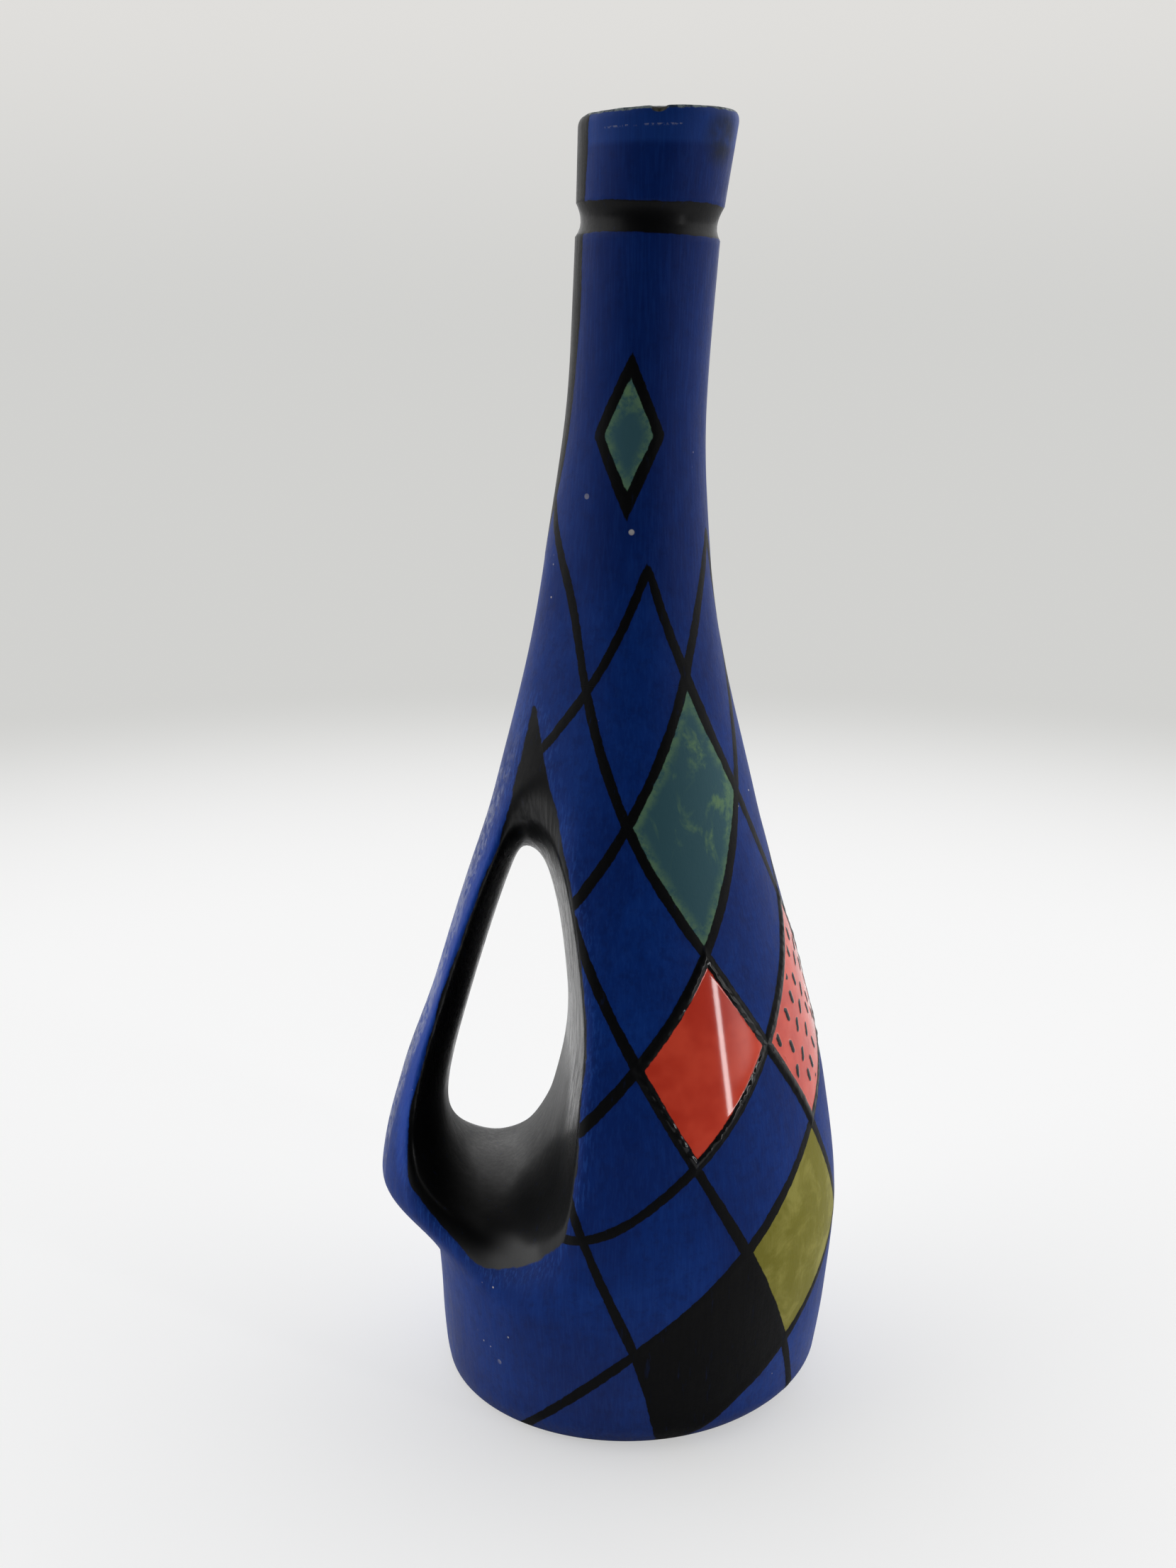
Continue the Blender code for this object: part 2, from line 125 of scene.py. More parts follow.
# Wear: a chip in the rim, the worn and uneven rim, a scratch and a smudge on the collar; and the handle's
# crest, rubbed glossy and given a grey painted sheen, both fading out towards its ends
CHIP_TURN = -91.0
CHIP_HALF = 2.2
CHIP_DEEP = 1.3
RIM_WORN = 0.85
RIM_UNEVEN = 0.16
SCRATCH_TURN = -103.0
SCRATCH_LONG = 20.0
SCRATCH_HALF = 0.45
SCRATCH_Z = 345.3
SMUDGE_TURN = -36.0
SMUDGE_REACH = 8.5
SMUDGE_Z = 343.0
CREST_HALF = 13.0
CREST_LOW_Z = 44.0
CREST_HIGH_Z = 205.0
CREST_FADE = 0.1

# Fineness of the meshes, and how far the curves of heights are softened
GRID_STEP = 1.0
NET_LOW = np.array((-78.0, -63.0, -2.0))
NET_HIGH = np.array((64.0, 63.0, 212.0))
REFINE_REACHES = (3.2, 2.6)
REFINE_DASH = 1.2
TURN_STEPS = 144
COLLAR_STEPS = 288
COLLAR_RISE = 0.8
RIM_STEPS = 8
FOOT_STEPS = 6
RISE_STEP = 1.2
INNER_TURNS = 96
INNER_STEPS = 90
INNER_RISE = 4.0
SOFTEN = 3.0


def curve(stations):
    """A curve through (position, value) stations that never overshoots them, for arrays."""
    place = np.array([s[0] for s in stations], float)
    value = np.array([s[1] for s in stations], float)
    width = np.diff(place)
    slope = np.diff(value) / width
    tangent = np.zeros(len(place))
    tangent[0], tangent[-1] = slope[0], slope[-1]
    for i in range(1, len(slope)):
        if slope[i - 1] * slope[i] > 0:
            near = 2 * width[i] + width[i - 1]
            far = width[i] + 2 * width[i - 1]
            tangent[i] = (near + far) / (near / slope[i - 1] + far / slope[i])

    def one(position):
        i = np.clip(np.searchsorted(place, position, side="right") - 1, 0, len(width) - 1)
        t = np.clip((position - place[i]) / width[i], 0, 1)
        start = (1 + 2 * t) * (1 - t) ** 2 * value[i] + t * t * (3 - 2 * t) * value[i + 1]
        return start + width[i] * (t * (1 - t) ** 2 * tangent[i] + t * t * (t - 1) * tangent[i + 1])

    def smooth(position):
        position = np.asarray(position, float)
        return (one(position - SOFTEN) + 2 * one(position) + one(position + SOFTEN)) / 4

    return smooth


round_radius = curve(ROUND)
axis_lean = curve(LEAN)
ridge_reach = curve(RIDGE)
ridge_power = curve(RIDGE_POWER)
ring_tilt = curve(RING_TILT)
lip_reach = curve(LIP)
stripe_half = curve(STRIPE)


def groove_inset(z):
    half = np.where(z > GROOVE_Z, GROOVE_ABOVE, GROOVE_BELOW)
    across = np.clip(np.abs(z - GROOVE_Z) / half, 0, 1)
    return GROOVE_DEPTH * (1 - across ** 2)


def outer_radius(z, cosine):
    """Distance of the painted skin from the leaning axis."""
    ridge = ridge_reach(z) * ((1 - cosine) / 2) ** ridge_power(z)
    lip = lip_reach(z) * ((1 + cosine) / 2) ** LIP_POWER
    trimmed = FOOT_CUT[0] + FOOT_CUT[1] * cosine + FOOT_CUT[2] * cosine * cosine
    cut = trimmed * np.clip(1 - z / FOOT_CUT_Z, 0, 1) ** 2
    return round_radius(z) + ridge + lip - cut - groove_inset(z) - SKIN


def from_axis(points):
    """Heights, and distances towards +X and outward from the leaning axis."""
    z = points[:, 2]
    x = points[:, 0] - axis_lean(z)
    return z, x, np.hypot(x, points[:, 1])


def ring_points(z, angle, inset):
    """Points of the skin at heights and angles from +X, set in by a distance."""
    radius = outer_radius(z, np.cos(angle)) - inset
    x = radius * np.cos(angle)
    return np.stack((axis_lean(z) + x, radius * np.sin(angle), z + ring_tilt(z) * x), -1)


def ramp(value, low, high):
    """0 at low, 1 at high and smooth between."""
    t = np.clip((value - low) / (high - low), 0, 1)
    return t * t * (3 - 2 * t)


def wave(points, scale, seed):
    """Smooth uneven values from -1 to 1 over points, about as wide as a scale in mm."""
    rng = np.random.default_rng(seed)
    total = np.zeros(len(points))
    for k in range(9):
        direction = rng.normal(size=3)
        direction /= np.linalg.norm(direction)
        stretch = rng.uniform(0.7, 1.6)
        total += np.sin(points @ direction * (2 * pi * stretch / scale) + rng.uniform(0, 2 * pi))
    return total / 4.5


def closed_curve(rows, steps):
    """A table's rows joined by a smooth closed curve, with more rows between them."""
    table = np.array(rows)
    before, after, last = np.roll(table, 1, 0), np.roll(table, -1, 0), np.roll(table, -2, 0)
    out = []
    for step in range(steps):
        t = step / steps
        out.append(0.5 * (2 * table + (after - before) * t
                          + (2 * before - 5 * table + 4 * after - last) * t * t
                          + (3 * table - before - 3 * after + last) * t ** 3))
    return np.stack(out, 1).reshape(-1, table.shape[1])


def polygon_distance(points, corners):
    """Signed distance of flat points to a closed polygon, positive inside."""
    nearest = np.full(len(points), 1e9)
    inside = np.zeros(len(points), bool)
    for a, b in zip(corners, np.roll(corners, -1, 0)):
        along = b - a
        length = along @ along
        if length < 1e-12:
            continue
        offset = points - a
        share = np.clip(offset @ along / length, 0, 1)
        gap = offset - share[:, None] * along
        nearest = np.minimum(nearest, (gap * gap).sum(1))
        crosses = (a[1] > points[:, 1]) != (b[1] > points[:, 1])
        with np.errstate(divide="ignore", invalid="ignore"):
            edge = a[0] + (points[:, 1] - a[1]) * along[0] / along[1]
        inside ^= crosses & (points[:, 0] < edge)
    return np.where(inside, 1.0, -1.0) * np.sqrt(nearest)


def blur(grid):
    """One softening pass along each side of a grid."""
    for axis in range(3):
        last = grid.shape[axis] - 1
        low = np.take(grid, [0, *range(last)], axis)
        high = np.take(grid, [*range(1, last + 1), last], axis)
        grid = (low + 2 * grid + high) / 4
    return grid


def scoop_grid():
    """Signed distance to the scoop on a regular grid, positive in the space that it cuts."""
    stations = closed_curve(SCOOP, SCOOP_STEPS)
    step = GRID_STEP
    counts = np.ceil((SCOOP_HIGH - SCOOP_LOW) / step).astype(int) + 1
    x, y, z = (SCOOP_LOW[i] + step * np.arange(counts[i]) for i in range(3))
    flat = np.stack(np.meshgrid(x, z, indexing="ij"), -1).reshape(-1, 2)
    grid = np.zeros(counts)
    for k, depth in enumerate(y):
        if depth > step / 2:
            grid[:, k] = grid[:, np.argmin(np.abs(y + depth))]
            continue
        s = abs(depth) / stations[:, 3]
        flare = np.where(s < 1, s * s, np.minimum(2 * s - 1, SCOOP_WIDEST))[:, None]
        outline = stations[:, (0, 1)] + (stations[:, (2, 4)] - stations[:, (0, 1)]) * flare
        grid[:, k] = polygon_distance(flat, outline).reshape(len(x), len(z))
    for _ in range(SCOOP_BLUR):
        grid = blur(grid)
    return grid


SCOOP_GRID = scoop_grid()


def cut_depth(points):
    """Depth of points inside the scoop, negative outside it, and one value at points far outside its grid."""
    near = ((points > SCOOP_LOW) & (points < SCOOP_HIGH)).all(1)
    place = (points[near] - SCOOP_LOW) / GRID_STEP
    cell = np.clip(np.floor(place).astype(int), 0, np.array(SCOOP_GRID.shape) - 2)
    t = np.clip(place - cell, 0, 1)
    value = np.zeros(len(place))
    for corner in range(8):
        shift = np.array((corner & 1, corner >> 1 & 1, corner >> 2 & 1))
        value += np.prod(np.where(shift, t, 1 - t), 1) * SCOOP_GRID[tuple((cell + shift).T)]
    depth = np.full(len(points), SCOOP_CLEAR)
    depth[near] = value
    return depth


def scoop_share(points):
    """How far points lie below the jug's round outside, in mm: on the skin, how much the scoop cut away."""
    z, x, radius = from_axis(points)
    return outer_radius(z, x / np.maximum(radius, 1e-6)) - radius


def edge_round(points):
    """How widely the scoop's edge is rounded over at points: softest below, crispest beside."""
    z = points[:, 2]
    below = EDGE_BELOW[0] * ramp(-z, -EDGE_BELOW[1], -EDGE_BELOW[2])
    above = EDGE_ABOVE[0] * ramp(z, EDGE_ABOVE[1], EDGE_ABOVE[2])
    return EDGE_ROUND + below + above


def solid(points):
    """A field that is negative inside the belly and handle and positive outside."""
    out = -scoop_share(points)
    cut = cut_depth(points)
    soft = edge_round(points)
    blend = np.maximum(soft - np.abs(out - cut), 0) / soft
    return np.maximum(out, cut) + blend * blend * soft / 4


def field_slope(points, step=0.35):
    """Gradient of the field at points."""
    slope = np.empty_like(points)
    for axis in range(3):
        shift = np.zeros(3)
        shift[axis] = step
        slope[:, axis] = (solid(points + shift) - solid(points - shift)) / (2 * step)
    return slope


def surface_net(low, high, step):
    """Vertices and quads of the field's surface inside a box, one vertex to each cell that it crosses."""
    counts = np.ceil((high - low) / step).astype(int) + 1
    axes = [low[i] + step * np.arange(counts[i]) for i in range(3)]
    field = np.empty(counts)
    for k, x in enumerate(axes[0]):
        rest = np.stack(np.meshgrid([x], axes[1], axes[2], indexing="ij"), -1).reshape(-1, 3)
        field[k] = solid(rest).reshape(counts[1], counts[2])
    cells = tuple(counts - 1)
    total = np.zeros(cells + (3,))
    crossings = np.zeros(cells)
    for axis in range(3):
        for start in np.ndindex(2, 2, 2):
            if start[axis] == 1:
                continue
            end = start[:axis] + (1,) + start[axis + 1:]
            a, b = (field[tuple(slice(s, s + c) for s, c in zip(spot, cells))] for spot in (start, end))
            crossed = (a < 0) != (b < 0)
            total += np.where(crossed[..., None], start, 0)
            total[..., axis] += np.where(crossed, a / np.where(crossed, a - b, 1), 0)
            crossings += crossed
    active = crossings > 0
    index = np.full(cells, -1)
    index[active] = np.arange(active.sum())
    corner = np.argwhere(active)
    points = low + step * (corner + total[active] / crossings[active][:, None])
    inside = field < 0
    quads = []
    for axis in range(3):
        ring = np.insert([(0, 0), (1, 0), (1, 1), (0, 1)], axis, 0, axis=1)
        here = [slice(1, -1)] * 3
        here[axis] = slice(0, -1)
        there = list(here)
        there[axis] = slice(1, None)
        a, b = inside[tuple(here)], inside[tuple(there)]
        for leaving, flip in ((a & ~b, axis == 1), (~a & b, axis != 1)):
            around = np.argwhere(leaving)[:, None] + ring
            quad = index[tuple(np.moveaxis(around, -1, 0))]
            quads.append(quad[:, ::-1] if flip else quad)
    return points, np.concatenate(quads)


def settle(points, times=1):
    """Points moved onto the field's surface."""
    for _ in range(times):
        slope = field_slope(points)
        size = (slope * slope).sum(1)
        points = points - (solid(points) / np.maximum(size, 0.05))[:, None] * slope
    return points


def spread(points, quads, times):
    """Points spaced more evenly over the surface."""
    edges = np.concatenate([quads[:, (k, (k + 1) % 4)] for k in range(4)])
    count = np.bincount(edges[:, 0], minlength=len(points)) + np.bincount(edges[:, 1], minlength=len(points))
    for _ in range(times):
        mean = np.zeros_like(points)
        for axis in range(3):
            mean[:, axis] += np.bincount(edges[:, 0], points[edges[:, 1], axis], len(points))
            mean[:, axis] += np.bincount(edges[:, 1], points[edges[:, 0], axis], len(points))
        points = settle(points + 0.6 * (mean / count[:, None] - points))
    return points


# The painting. Strokes are heights along turns round the jug: (degrees from the pouring lip, height),
# negative on the side that faces the camera. Rising strokes climb towards the lip, falling ones drop
RISING = {
    "under": ((20, -10), (48, 22), (76, 52), (106, 84)),
    "low": ((-92, -10), (-64, 11), (-34, 33), (-8, 54), (22, 76), (56, 99), (84, 124), (108, 150),
            (122, 168)),
    "foot": ((-132, -6), (-100, 24), (-70, 50), (-38, 79), (-6, 104), (28, 132), (60, 160), (96, 194),
             (122, 208), (150, 223), (179, 240)),
    "mid": ((-120, 62), (-102, 66), (-80, 80), (-48, 110), (-18, 141), (12, 174), (46, 204), (80, 226),
            (108, 240), (150, 254), (174, 260)),
    "high": ((-109, 92), (-74, 128), (-44, 164), (-14, 203), (14, 227), (48, 243)),
    "upper": ((-116, 150), (-100, 166), (-75, 192), (-50, 218), (-20, 245)),
    "nape": ((-150, 184), (-112, 211), (-82, 237)),
}
FALLING = {
    "left": ((-112, 84), (-98, 50), (-88, 24), (-80, -8)),
    "scoop": ((-116, 150), (-84, 102), (-63, 64), (-46, 30), (-30, -8)),
    "nape": ((-176, 258), (-160, 246), (-140, 230), (-118, 203), (-92, 170), (-62, 134), (-35, 96), (-13, 56),
             (6, 20), (20, -10)),
    "front": ((-82, 237), (-62, 214), (-38, 184), (-14, 148), (10, 104), (32, 60), (50, 22), (66, -8)),
    "far": ((-20, 245), (-4, 227), (18, 204), (48, 168), (72, 124), (88, 84), (102, 46), (122, -8)),
    "last": ((48, 243), (76, 208), (106, 170), (124, 147)),
}
# Painted cells of the lattice: the falling and the rising stroke that each lies below, and then the falling
# and the rising stroke that it lies above
CELLS = {
    "red": ("nape", "high", "scoop", "mid"),
    "dashed": ("front", "mid", "nape", "foot"),
    "olive": ("nape", "foot", "scoop", "low"),
    "teal": ("front", "upper", "nape", "high"),
    "far_teal": ("far", "low", "front", "under"),
    "black": ("scoop", "foot", "left", "low"),
    "far_black": ("last", "mid", "far", "foot"),
}
# Diamonds on the neck: (degrees, height, half width and half height in mm)
DIAMONDS = ((-98, 271, 8.0, 18.0), (70, 282, 7.0, 15.0))
LINE_HALF = 1.4
OUTLINE_HALF = 1.55
BAND_BELOW = 3.2
BAND_ABOVE = 4.6
# How far the raised glaze stands out
LINE_RISE = 0.08
ENAMEL_RISE = 0.3
BEAD_RISE = 0.22
DASH_RISE = 0.2
STROKES = {"rising": RISING, "falling": FALLING}
STROKE_CURVES = {
    kind: {name: curve(points) for name, points in group.items()} for kind, group in STROKES.items()
}
# The short upright dashes of one cell: how far apart they stand, their size and their distance from its edge
DASH_RADIUS = 45.0
DASH_APART = 4.6
DASH_RISE_APART = 7.5
DASH_LONG = 2.2
DASH_HALF = 0.85
DASH_MARGIN = 2.6


def stroke_side(kind, name, turn, z, radius):
    """Distance above a stroke at turns in degrees and heights, and distance past its ends."""
    path = STROKE_CURVES[kind][name]
    first, last = STROKES[kind][name][0][0], STROKES[kind][name][-1][0]
    slope = np.degrees(path(turn + 0.5) - path(turn - 0.5)) / radius
    above = (z - path(turn)) / np.sqrt(1 + slope * slope)
    past = np.maximum(np.maximum(first - turn, turn - last), 0) * radius * pi / 180
    return above, past


def stroke_gap(kind, turn, z, radius):
    """Distance to the nearest stroke of a kind."""
    gap = np.full(len(z), 99.0)
    for name in STROKES[kind]:
        above, past = stroke_side(kind, name, turn, z, radius)
        gap = np.minimum(gap, np.hypot(above, past))
    return gap


def cell_depth(name, turn, z, radius):
    """Distance inside a painted cell from its nearest side, negative outside it."""
    sides = []
    for kind, stroke, sign in zip(("falling", "rising") * 2, CELLS[name], (-1, -1, 1, 1)):
        sides.append(sign * stroke_side(kind, stroke, turn, z, radius)[0])
    return np.minimum.reduce(sides)


def dash_depth(turn, z, radius, cell):
    """Depth inside the short upright dashes scattered over a cell, negative outside them."""
    column = (turn + 180) * pi / 180 * DASH_RADIUS / DASH_APART
    depth = np.full(len(z), -9.0)
    for shift in (0, 1):
        number = np.floor(column) + shift
        row = z / DASH_RISE_APART + 0.5 * np.mod(number, 2)
        step = np.floor(row + 0.5)
        jitter = np.sin(number * 12.9898 + step * 78.233) * 0.22
        tilt = np.sin(number * 39.3 + step * 11.1) * 0.35
        up = (row - step + jitter * 0.6) * DASH_RISE_APART
        side = (column - number + jitter) * DASH_APART * radius / DASH_RADIUS - tilt * up
        gap = np.hypot(side, np.maximum(np.abs(up) - DASH_LONG / 2, 0))
        depth = np.maximum(depth, DASH_HALF - gap)
    return np.minimum(depth, cell - DASH_MARGIN)


def chip_depth(turn, level, radius):
    """Depth of the small chip knocked out of the rim, 0 outside it."""
    across = np.abs(turn - CHIP_TURN) * radius * pi / 180
    share = np.clip(1 - across / CHIP_HALF, 0, 1)
    return CHIP_DEEP * share * ramp(level, RIM_Z - CHIP_DEEP - 0.6, RIM_Z - 0.4)


def painting(points):
    """What is painted at points of the outside: signed depths in mm inside each colour, by name."""
    z, x, radius = from_axis(points)
    level = z - ring_tilt(z) * x
    turn = np.degrees(np.arctan2(points[:, 1], x))
    handed = LINE_HALF * (1 + 0.14 * wave(points, 46, 3) + 0.07 * wave(points, 13, 4))
    wander_z = z + 0.5 * wave(points, 60, 5)
    depth = {
        "line_rising": handed - stroke_gap("rising", turn, wander_z, radius),
        "line_falling": handed - stroke_gap("falling", turn, wander_z, radius),
    }
    cells = {name: cell_depth(name, turn, wander_z, radius) for name in CELLS}
    depth["enamel"] = np.maximum(cells["red"], cells["dashed"])
    depth["olive"] = cells["olive"]
    depth["teal"] = np.maximum(cells["teal"], cells["far_teal"])
    depth["dark"] = np.maximum(cells["black"], cells["far_black"])
    depth["dash"] = dash_depth(turn, z, radius, cells["dashed"])
    diamond = np.full(len(z), -99.0)
    for centre, height, wide, tall in DIAMONDS:
        side = np.abs(turn - centre) * radius * pi / 180
        rise = np.abs(level - height)
        diamond = np.maximum(diamond, (1 - side / wide - rise / tall) / np.hypot(1 / wide, 1 / tall))
    depth["diamond"] = diamond
    ring = handed - np.abs(diamond)
    from_back = np.abs(180 - np.abs(turn)) * radius * pi / 180
    stripe = stripe_half(z) * (1 + 0.08 * wave(points, 50, 6)) - from_back
    band = np.minimum(level - (GROOVE_Z - BAND_BELOW), (GROOVE_Z + BAND_ABOVE) - level)
    band = band + 0.25 * wave(points, 24, 7)
    depth["trim"] = np.maximum(ring, stripe)
    depth["band"] = band
    outline = closed_curve(SCOOP_PAINT, 3)
    depth["scoop"] = polygon_distance(points[:, (0, 2)], outline) + 0.3 * wave(points, 14, 8)
    depth["hollow"] = scoop_share(points)
    depth["smudge"] = SMUDGE_REACH - np.hypot((turn - SMUDGE_TURN) * radius * pi / 180, level - SMUDGE_Z)
    along = np.abs(turn - SCRATCH_TURN) * radius * pi / 180 - SCRATCH_LONG / 2
    depth["scratch"] = SCRATCH_HALF - np.hypot(np.maximum(along, 0), level - SCRATCH_Z)
    depth["chip"] = chip_depth(turn, level, radius)
    depth["rim"] = level - (RIM_Z - RIM_WORN)
    from_end = np.minimum(z - CREST_LOW_Z, CREST_HIGH_Z - z)
    depth["crest"] = np.minimum(CREST_HALF - from_back, from_end * CREST_FADE)
    return depth


def raised(points, depth):
    """How far the glaze stands out at points."""
    clear = ramp(-depth["scoop"], 0, 1.5)
    line = np.maximum(depth["line_rising"], depth["line_falling"])
    line = np.maximum(line, np.maximum(depth["trim"], depth["band"]))
    rise = LINE_RISE * ramp(line, -0.5, 0.9) * clear
    edge = OUTLINE_HALF - np.abs(depth["enamel"])
    lumpy = 1 + 0.6 * wave(points, 4.2, 9) + 0.3 * wave(points, 2.4, 10)
    bead = BEAD_RISE * ramp(edge, -0.2, 1.3) * lumpy
    rise += ENAMEL_RISE * ramp(depth["enamel"], -1.4, 1.2) + bead
    rise += DASH_RISE * ramp(depth["dash"], -0.4, 0.7)
    return rise


def as_mesh(name, points, faces):
    mesh = bpy.data.meshes.new(name)
    mesh.from_pydata((points * MM).tolist(), [], [list(face) for face in faces])
    mesh.update()
    return mesh


def numbers(owner, key):
    """Whole numbers of a mesh's parts."""
    values = np.empty(len(owner), np.int32)
    owner.foreach_get(key, values)
    return values


def vectors(owner, key):
    """Vectors of a mesh's parts."""
    values = np.empty(len(owner) * 3)
    owner.foreach_get(key, values)
    return values.reshape(-1, 3)


def move(mesh, points):
    mesh.vertices.foreach_set("co", (points * MM).ravel())
    mesh.update()


def refine(mesh, chosen):
    """Halves the edges of the faces that touch the chosen vertices."""
    shape = bmesh.new()
    shape.from_mesh(mesh)
    shape.verts.ensure_lookup_table()
    faces = {face for k in np.flatnonzero(chosen) for face in shape.verts[k].link_faces}
    edges = list({edge for face in faces for edge in face.edges})
    bmesh.ops.subdivide_edges(shape, edges=edges, cuts=1, use_grid_fill=True)
    shape.to_mesh(mesh)
    shape.free()
    mesh.update()


def belly_skin():
    """The outside of the belly and handle as one mesh, with its raised glaze, painting and normals."""
    points, quads = surface_net(NET_LOW, NET_HIGH, GRID_STEP)
    points = spread(settle(points, 2), quads, 4)
    mesh = as_mesh("skin", points, quads.tolist())
    for reach in REFINE_REACHES:
        points = vectors(mesh.vertices, "co") / MM
        depth = painting(points)
        fine = (np.abs(depth["enamel"]) < reach) | (depth["dash"] > -REFINE_DASH)
        refine(mesh, fine & (points[:, 2] > 0))
    points = settle(vectors(mesh.vertices, "co") / MM, 2)
    move(mesh, points)
    depth = painting(points)
    move(mesh, points + vectors(mesh.vertex_normals, "vector") * raised(points, depth)[:, None])
    return take_skin(mesh, depth)


def belly_hollow():
    """The inside of the belly: a wall's thickness short of the outside and of the scoop."""
    angle = np.linspace(0, 2 * pi, INNER_TURNS + 1)[:-1]
    rings = []
    for z in np.arange(-1.0, NET_HIGH[2] + 2.0, INNER_RISE):
        limit = outer_radius(np.full(INNER_TURNS, z), np.cos(angle)) - WALL
        reach = np.linspace(0, 1, INNER_STEPS)[:, None] * limit
        x = axis_lean(z) + reach * np.cos(angle)
        y = reach * np.sin(angle)
        flat = np.stack((x, y, np.full_like(x, z)), -1).reshape(-1, 3)
        blocked = cut_depth(flat).reshape(x.shape) > -WALL
        first = np.where(blocked.any(0), blocked.argmax(0), len(reach)) - 1
        pick = (np.clip(first, 1, None), np.arange(INNER_TURNS))
        rings.append(np.stack((x[pick], y[pick], np.full(INNER_TURNS, z)), -1))
    return np.array(rings)


def loft_faces(rows, columns, inward=False):
    """Quads between rings of points stored one after another."""
    faces = []
    for r in range(rows - 1):
        for c in range(columns):
            a = r * columns + c
            b = r * columns + (c + 1) % columns
            quad = (a, b, b + columns, a + columns)
            faces.append(quad[::-1] if inward else quad)
    return faces


# The places of the glazes in a piece's list of materials. The faces of a joint are dark like the inside
PAINTED, INSIDE, CLAY, ENAMELLED = range(4)


def choose_glazes(mesh, depth):
    """Gives the faces of the raised enamel their own glaze."""
    first = numbers(mesh.polygons, "loop_start")
    count = numbers(mesh.polygons, "loop_total")
    spot = numbers(mesh.loops, "vertex_index")
    kind = np.full(len(first), PAINTED, np.int32)
    kind[np.add.reduceat(depth["enamel"][spot], first) / count > -1.0] = ENAMELLED
    mesh.polygons.foreach_set("material_index", kind)


def cap(shape, height, up, material):
    """Closes the open loops that lie in a level plane with a flat face in one material."""
    edges = [
        edge for edge in shape.edges
        if edge.is_boundary and all(abs(v.co.z - height * MM) < 1e-6 for v in edge.verts)
    ]
    made = bmesh.ops.triangle_fill(shape, use_beauty=True, use_dissolve=False, edges=edges,
                                   normal=(0, 0, 1 if up else -1))
    flat = shape.faces.layers.int["cap"]
    for face in made["geom"]:
        if isinstance(face, bmesh.types.BMFace):
            face.normal_update()
            if (face.normal.z > 0) != up:
                face.normal_flip()
            face.material_index = material
            face[flat] = 1


def slice_level(shape, height, keep=None, clear_above=False, clear_below=False):
    """Cuts a mesh along a level plane, only in the faces that keep accepts, if it is given."""
    faces = shape.faces
    if keep is not None:
        faces = [face for face in shape.faces if keep(face.calc_center_bounds())]
    geometry = set(faces)
    for face in faces:
        geometry.update(face.verts)
        geometry.update(face.edges)
    bmesh.ops.bisect_plane(shape, geom=list(geometry), dist=1e-7, plane_co=(0, 0, height * MM),
                           plane_no=(0, 0, 1), clear_outer=clear_above, clear_inner=clear_below)


def add_object(name, data):
    made = bpy.data.objects.new(name, data)
    bpy.context.scene.collection.objects.link(made)
    return made


def finish_shape(shape, name, nodes, materials):
    """Makes a piece from a closed mesh whose skin keeps its stored normals."""
    mesh = bpy.data.meshes.new(name)
    shape.to_mesh(mesh)
    shape.free()
    mesh.shade_smooth()
    normal = vectors(mesh.corner_normals, "vector")
    skin = vectors(mesh.attributes["skin_normal"].data, "vector")[numbers(mesh.loops, "vertex_index")]
    sizes = numbers(mesh.polygons, "loop_total")
    facing = np.repeat(vectors(mesh.polygon_normals, "vector"), sizes, 0)
    flat = np.repeat(numbers(mesh.attributes["cap"].data, "value"), sizes) > 0
    length = np.linalg.norm(skin, axis=1)
    smooth = (length > 0.5) & ~flat
    normal[smooth] = skin[smooth] / length[smooth, None]
    normal[flat] = facing[flat]
    mesh.normals_split_custom_set(normal.tolist())
    mesh.attributes.remove(mesh.attributes["skin_normal"])
    for material in materials:
        mesh.materials.append(material)
    piece = add_object(name, mesh)
    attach(piece, "root")
    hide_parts(*nodes)
    return piece


def add_inner(shape, rings):
    """Adds rings of the inside to a mesh, facing inward."""
    rows, columns = rings.shape[:2]
    verts = [shape.verts.new(Vector(point) * MM) for point in rings.reshape(-1, 3)]
    for face in loft_faces(rows, columns, inward=True):
        made = shape.faces.new([verts[k] for k in face])
        made.material_index = INSIDE
    return verts


def in_strap(low, high):
    return lambda point: point.x < HANDLE_FACE_X * MM and low * MM < point.z < high * MM


def make_belly_and_handle(materials):
    shape = belly_skin()
    for height in (HANDLE_FOOT_Z, HANDLE_HEAD_Z):
        slice_level(shape, height, keep=in_strap(height - 3, height + 3))
    inside = in_strap(HANDLE_FOOT_Z, HANDLE_HEAD_Z)
    strap = shape.copy()
    for part, is_strap in ((strap, True), (shape, False)):
        surplus = [face for face in part.faces if inside(face.calc_center_median()) != is_strap]
        bmesh.ops.delete(part, geom=surplus, context="FACES")
        cap(part, HANDLE_FOOT_Z, not is_strap, INSIDE)
        cap(part, HANDLE_HEAD_Z, is_strap, INSIDE)
    finish_shape(strap, "painted_handle", ["handle"], materials)
    add_inner(shape, belly_hollow())
    slice_level(shape, SHOULDER_Z, clear_above=True)
    slice_level(shape, FOOT_Z, clear_below=True)
    cap(shape, SHOULDER_Z, True, INSIDE)
    cap(shape, FOOT_Z, False, INSIDE)
    finish_shape(shape, "painted_belly", ["belly"], materials)


